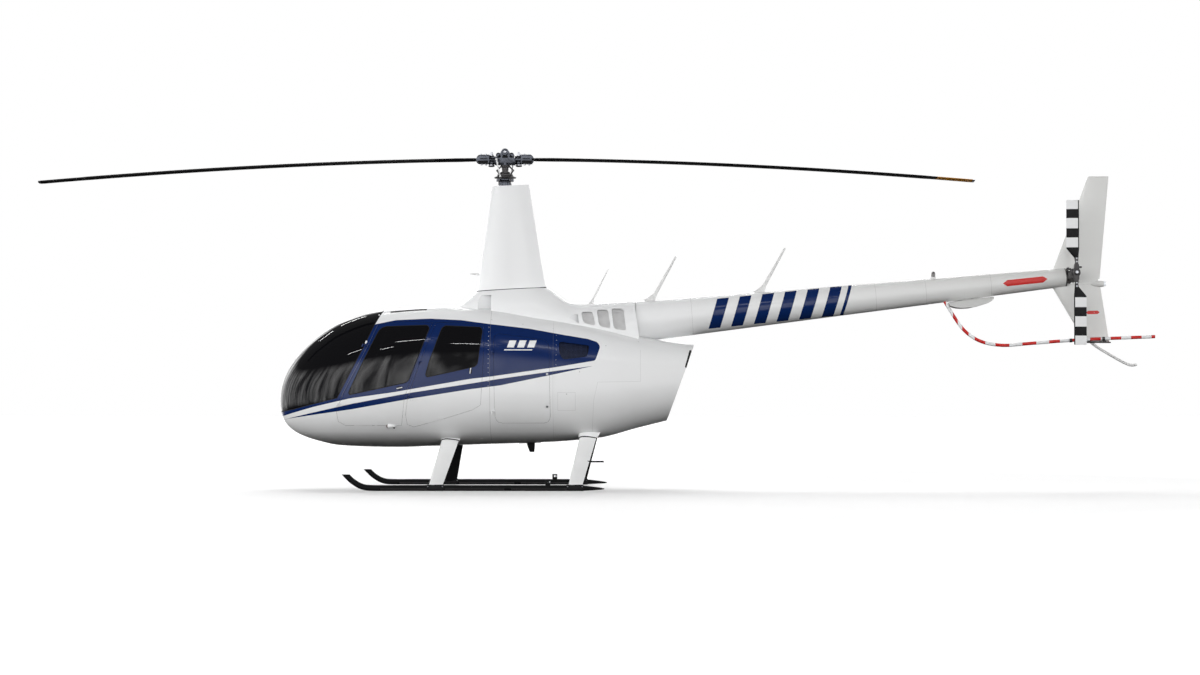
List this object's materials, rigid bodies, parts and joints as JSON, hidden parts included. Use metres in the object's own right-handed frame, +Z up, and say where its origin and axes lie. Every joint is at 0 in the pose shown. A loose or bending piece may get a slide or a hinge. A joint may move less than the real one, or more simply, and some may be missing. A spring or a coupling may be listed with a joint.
{
  "type": "light turbine helicopter on skids",
  "caption": "Light turbine helicopter with a rounded cabin, tall mast fairing, teetering rotor, long tail cone, fins, guarded tail rotor and skid landing gear.",
  "frame": {"origin": "on the floor under the middle of the helicopter's overall box, on its plane of symmetry", "axes": "+X towards the tail, so the nose points to -X; +Y to starboard; +Z up"},
  "size_m": [11.8685, 2.36, 3.5974],
  "materials": {
    "white_paint": "gloss white paint with navy blue stripes",
    "dark_glass": "dark tinted acrylic, polished",
    "black_paint": "satin black paint",
    "rotor_metal": "bare blue-grey steel and aluminium, machined",
    "dark_metal": "dark oiled metal castings",
    "seat_leather": "grey stitched leather",
    "interior_trim": "dark matte trim and carpet",
    "red_paint": "red and white banded gloss paint",
    "lamp_lens": "clear and coloured lamp lenses"
  },
  "bodies": {
    "root": {"cabin_shell": "white_paint", "cabin_floor": "interior_trim", "baggage_bay": "white_paint", "engine_cowl": "white_paint", "roof_cowl": "white_paint", "mast_fairing": "white_paint", "windshield_left": "dark_glass", "windshield_right": "dark_glass", "engine_block": "dark_metal", "exhaust_pipe": "dark_metal", "seat_front_left": "seat_leather", "seat_front_right": "seat_leather", "seat_rear": "seat_leather", "instrument_console": "interior_trim", "cyclic_stick": "black_paint", "swashplate_lower": "dark_metal", "pitot_tube": "rotor_metal", "tail_cone": "white_paint", "tail_gearbox": "dark_metal", "upper_fin": "white_paint", "lower_fin": "white_paint", "stabilizer": "white_paint", "tail_light": "lamp_lens", "guard_tube": "red_paint", "tail_skid": "white_paint", "whip_fore": "white_paint", "whip_mid": "white_paint", "whip_aft": "white_paint", "beacon": "lamp_lens", "nav_antenna": "white_paint", "belly_antenna": "black_paint", "skid_left": "black_paint", "skid_right": "black_paint", "leg_front_left": "white_paint", "leg_front_right": "white_paint", "leg_rear_left": "white_paint", "leg_rear_right": "white_paint", "boarding_step": "black_paint"},
    "front_door_left": {"door_front_left": "white_paint", "window_front_left": "dark_glass"},
    "front_door_right": {"door_front_right": "white_paint", "window_front_right": "dark_glass"},
    "rear_door_left": {"door_rear_left": "white_paint", "window_rear_left": "dark_glass"},
    "rear_door_right": {"door_rear_right": "white_paint", "window_rear_right": "dark_glass"},
    "baggage_door": {"baggage_door": "white_paint"},
    "main_rotor": {"rotor_shaft": "rotor_metal", "rotor_hub": "rotor_metal", "blade_forward": "black_paint", "blade_aft": "black_paint", "swashplate_upper": "dark_metal"},
    "tail_rotor": {"tail_rotor_hub": "dark_metal", "tail_blade_upper": "white_paint", "tail_blade_lower": "white_paint"}
  },
  "joints": [
    {"name": "main_rotor_spin", "type": "hinge", "parent": "root", "child": "main_rotor", "pos_m": [-0.954, 0, 3.493], "axis": [0, 0, 1], "continuous": true},
    {"name": "tail_rotor_spin", "type": "hinge", "parent": "root", "child": "tail_rotor", "pos_m": [5.072, -0.3, 2.273], "axis": [0, 1, 0], "continuous": true},
    {"name": "front_door_left_hinge", "type": "hinge", "parent": "root", "child": "front_door_left", "pos_m": [-2.713, -0.675, 0.8], "axis": [-0.4019, 0, -0.9157], "range_deg": [0, 65]},
    {"name": "front_door_right_hinge", "type": "hinge", "parent": "root", "child": "front_door_right", "pos_m": [-2.713, 0.675, 0.8], "axis": [0.4019, 0, 0.9157], "range_deg": [0, 65]},
    {"name": "rear_door_left_hinge", "type": "hinge", "parent": "root", "child": "rear_door_left", "pos_m": [-1.993, -0.737, 0.8], "axis": [-0.3239, 0, -0.9461], "range_deg": [0, 65]},
    {"name": "rear_door_right_hinge", "type": "hinge", "parent": "root", "child": "rear_door_right", "pos_m": [-1.993, 0.737, 0.8], "axis": [0.3239, 0, 0.9461], "range_deg": [0, 65]},
    {"name": "baggage_door_hinge", "type": "hinge", "parent": "root", "child": "baggage_door", "pos_m": [-1.058, -0.722, 0.8], "axis": [0, 0, -1], "range_deg": [0, 90]}
  ]
}
